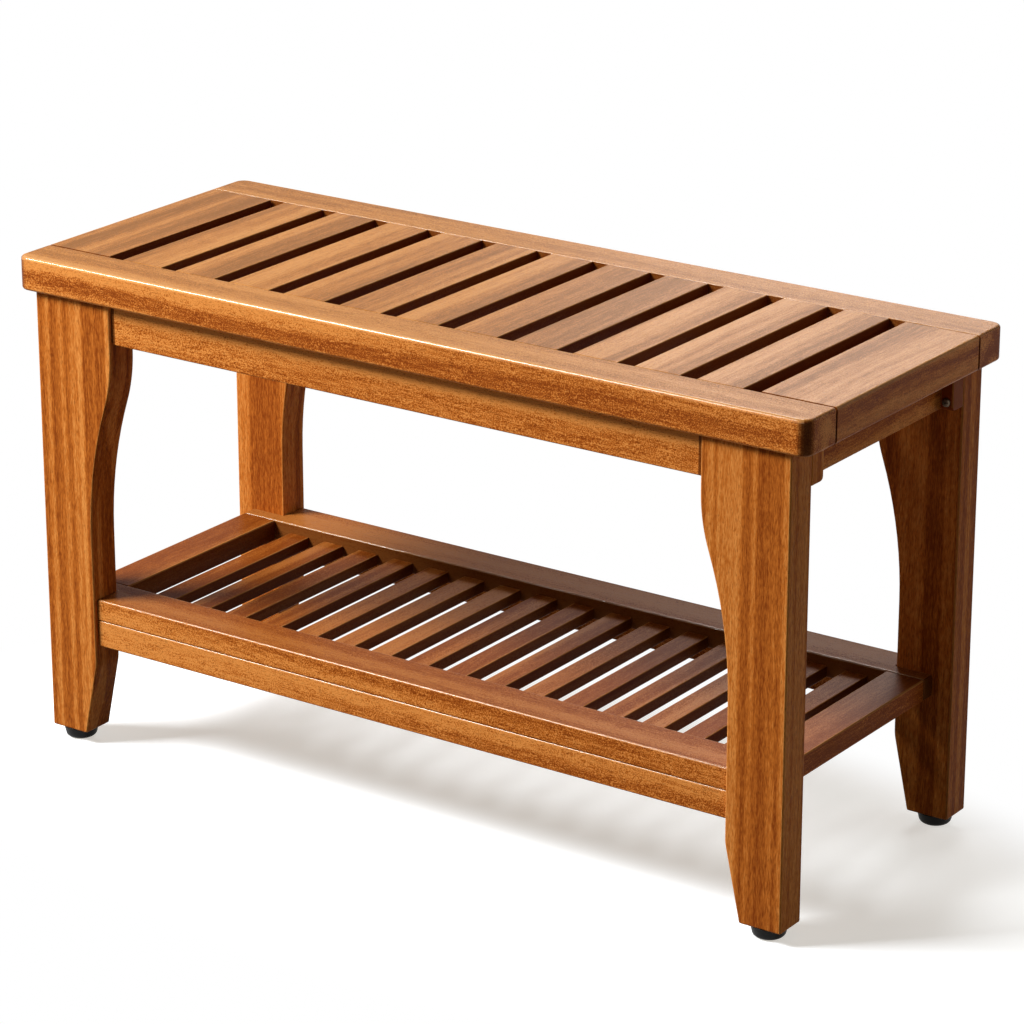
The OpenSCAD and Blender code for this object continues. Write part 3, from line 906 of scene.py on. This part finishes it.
def makeScrew(length):
    # points up, with the underside of its head at the origin
    shape = screwShape
    straightRun = length - shape["tipLength"]
    screw = addRound("screw", onAxis(zAxis, straightRun / 2), shape["shankRadius"], straightRun,
                     shape["shankSides"])
    pick(screw, "FACE", lambda f: near(middle(f).z, straightRun))
    bpy.ops.mesh.extrude_region_move(TRANSFORM_OT_translate={"value": (0, 0, shape["tipLength"])})
    bpy.ops.transform.resize(value=(shape["tipShare"], shape["tipShare"], 1),
                             center_override=(0, 0, length))
    leaveEditing()
    crown = onAxis(zAxis, -shape["headHeight"])
    head = addRound("head", crown / 2, shape["headRadius"], shape["headHeight"])
    roundEdges(head, lambda e: level(e, crown.z), shape["headRound"], shape["headSteps"])
    reach = Vector((shape["slotRun"], shape["slotWidth"], 2 * shape["slotDepth"])) / 2
    for size in (reach, Vector((reach.y, reach.x, reach.z))):
        cutAway(head, addBlock("slot", crown - size, crown + size))
    screw = joinPieces([screw, head])
    bpy.ops.object.shade_smooth_by_angle(angle=smoothAngle)
    return screw


def placeScrews(node, length, seats):
    # seats are (place, turn about X) pairs
    pattern = makeScrew(length)
    screws = [copyPiece(pattern, "screw", move=place, turn=(turn, 0, 0)) for place, turn in seats]
    bpy.data.objects.remove(pattern, do_unlink=True)
    group = joinPieces(screws)
    group.name = group.data.name = pieceName(node)
    fitPiece(group, node, steel)


def seated(places, rise):
    return [(place + onAxis(zAxis, rise), 0) for place in places]


cleatSeats = []
for corner in corners:
    low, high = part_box(corner + "_cleat")
    inner, turn = (low.y, -math.pi / 2) if low.y > 0 else (high.y, math.pi / 2)
    rise = low.z + 2 * screwShape["headRadius"]
    cleatSeats.append((Vector(((low.x + high.x) / 2, inner, rise)), turn))
apronNodes = [name for node, (twin, acrossAxis, finish) in aprons.items() for name in (node, twin)]
apronPlaces = [place for node in apronNodes for place in apronScrewPlaces(node)]
stretcherPlaces = [place for node in ("front_stretcher", "back_stretcher")
                   for place in screwsAlongMiddle(node, shelfShape["screwPitch"])]
footPlaces = [underMiddle(corner + "_foot") for corner in corners]
placeScrews("cleat_screws", screwShape["cleatLength"], cleatSeats)
placeScrews("seat_screws", screwShape["seatLength"], seated(apronPlaces, apronShape["counterboreDepth"]))
placeScrews("stretcher_screws", screwShape["stretcherLength"],
            seated(stretcherPlaces, shelfShape["counterboreDepth"]))
placeScrews("foot_screws", screwShape["footLength"], seated(footPlaces, footShape["recessDepth"]))
for node in ("frame_dowels", "shelf_dowels"):
    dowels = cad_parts[node]
    dowels.data.materials.clear()
    dowels.data.materials.append(beech)
print("screws and dowels done")


studio = {
    "floorSize": 60.0, "floorColour": (0.62, 0.67, 0.73, 1), "floorGlow": (0.55, 0.522, 0.48, 1),
    "spotPlace": (0.08, -0.08, 0), "spotReach": (0.55, 0.28, 1), "fadeStart": 0.85, "fadeEnd": 1.2,
    "white": (1, 1, 1, 1), "ambient": 0.05, "bounce": (0.16, 0.16, 0.16, 1), "lampAim": (0, 0, 0.3),
}
lamps = {
    "key": {"place": (-2.11, -1.69, 2.9), "size": (1.3, 1.3), "power": 290, "colour": (1, 0.98, 0.95)},
    "fill": {"place": (1.5, 1.4, 0.8), "size": (1.1, 0.8), "power": 6.9, "colour": (1, 0.97, 0.92)},
    "back": {"place": (-1.0, 2.9, 1.9), "size": (1.5, 0.8), "power": 41, "colour": (1, 0.97, 0.93)},
}


def emptyTree(owner):
    owner.use_nodes = True
    owner.node_tree.nodes.clear()
    return owner.node_tree


def seenByEye(tree):
    # 1 for rays that show the background: from the camera, a reflection or a clear piece
    path = addNode(tree, "ShaderNodeLightPath")
    shown = calculate(tree, "MAXIMUM", (path, "Is Camera Ray"), (path, "Is Glossy Ray"))
    return calculate(tree, "MAXIMUM", shown, (path, "Is Transmission Ray"))


def makeFloor():
    # pale with the bench's shadow near it, white further off, and dimmer for the light it throws back
    finish = bpy.data.materials.new("studioFloor")
    tree = emptyTree(finish)
    dim = addNode(tree, "ShaderNodeBsdfDiffuse", {"Color": studio["bounce"]})
    pale = addNode(tree, "ShaderNodeBsdfDiffuse", {"Color": studio["floorColour"]})
    glow = addNode(tree, "ShaderNodeEmission", {"Color": studio["floorGlow"], "Strength": 1})
    white = addNode(tree, "ShaderNodeEmission", {"Color": studio["white"], "Strength": 1})
    shaded = feedAll(tree, addNode(tree, "ShaderNodeAddShader"), (pale, glow))
    spot = addNode(tree, "ShaderNodeMapping",
                   {"Location": studio["spotPlace"], "Scale": studio["spotReach"]}, vector_type="TEXTURE")
    feed(tree, objectPlace(tree), spot, "Vector")
    distance = calculateVector(tree, "LENGTH", spot), "Value"
    fade = spread(tree, distance, studio["fadeStart"], studio["fadeEnd"])
    shown = mixShaders(tree, fade, shaded, white)
    whole = mixShaders(tree, seenByEye(tree), dim, shown)
    feed(tree, whole, addNode(tree, "ShaderNodeOutputMaterial"), "Surface")
    bpy.ops.object.select_all(action="DESELECT")
    bpy.ops.mesh.primitive_plane_add(size=studio["floorSize"])
    floor = bpy.context.object
    floor.name = "floor"
    floor.data.materials.append(finish)


def makeWorld():
    # white to the eye, and a low even light on the bench
    world = bpy.data.worlds.new("studioWorld")
    bpy.context.scene.world = world
    tree = emptyTree(world)
    soft = addNode(tree, "ShaderNodeBackground", {"Color": studio["white"], "Strength": studio["ambient"]})
    white = addNode(tree, "ShaderNodeBackground", {"Color": studio["white"], "Strength": 1})
    both = mixShaders(tree, seenByEye(tree), soft, white)
    feed(tree, both, addNode(tree, "ShaderNodeOutputWorld"), "Surface")


def addLamp(name, lamp):
    bpy.ops.object.select_all(action="DESELECT")
    bpy.ops.object.light_add(type="AREA", location=lamp["place"])
    made = bpy.context.object
    made.name = name + "Lamp"
    made.data.shape = "RECTANGLE"
    made.data.size, made.data.size_y = lamp["size"]
    made.data.energy = lamp["power"]
    made.data.color = lamp["colour"]
    aim = Vector(studio["lampAim"]) - Vector(lamp["place"])
    made.rotation_euler = aim.to_track_quat("-Z", "Y").to_euler()


makeFloor()
makeWorld()
for name, lamp in lamps.items():
    addLamp(name, lamp)

view = {
    "turn": 34.897, "rise": 19.721, "distance": 3.5271,  # degrees, degrees, metres
    "focalPixels": 4009.4, "imagePixels": 1024, "sensor": 36.0,
    "centre": (497.2, 537.6),  # where the middle of the bench's height stands in the photo
}


def placeCamera():
    turn, rise = math.radians(view["turn"]), math.radians(view["rise"])
    ahead = Vector((-math.sin(turn) * math.cos(rise), math.cos(turn) * math.cos(rise), -math.sin(rise)))
    right = Vector((math.cos(turn), math.sin(turn), 0))
    upward = right.cross(ahead)
    pixel = view["distance"] / view["focalPixels"]
    half = view["imagePixels"] / 2
    aim = onAxis(zAxis, seatHeight / 2)
    aim -= right * (view["centre"][0] - half) * pixel
    aim += upward * (view["centre"][1] - half) * pixel
    bpy.ops.object.camera_add(location=aim - ahead * view["distance"],
                              rotation=(math.pi / 2 - rise, 0, turn))
    camera = bpy.context.object
    camera.data.sensor_width = view["sensor"]
    camera.data.lens = view["focalPixels"] * view["sensor"] / view["imagePixels"]
    bpy.context.scene.camera = camera


placeCamera()
bpy.context.scene.view_settings.view_transform = "Standard"
print("studio ready")
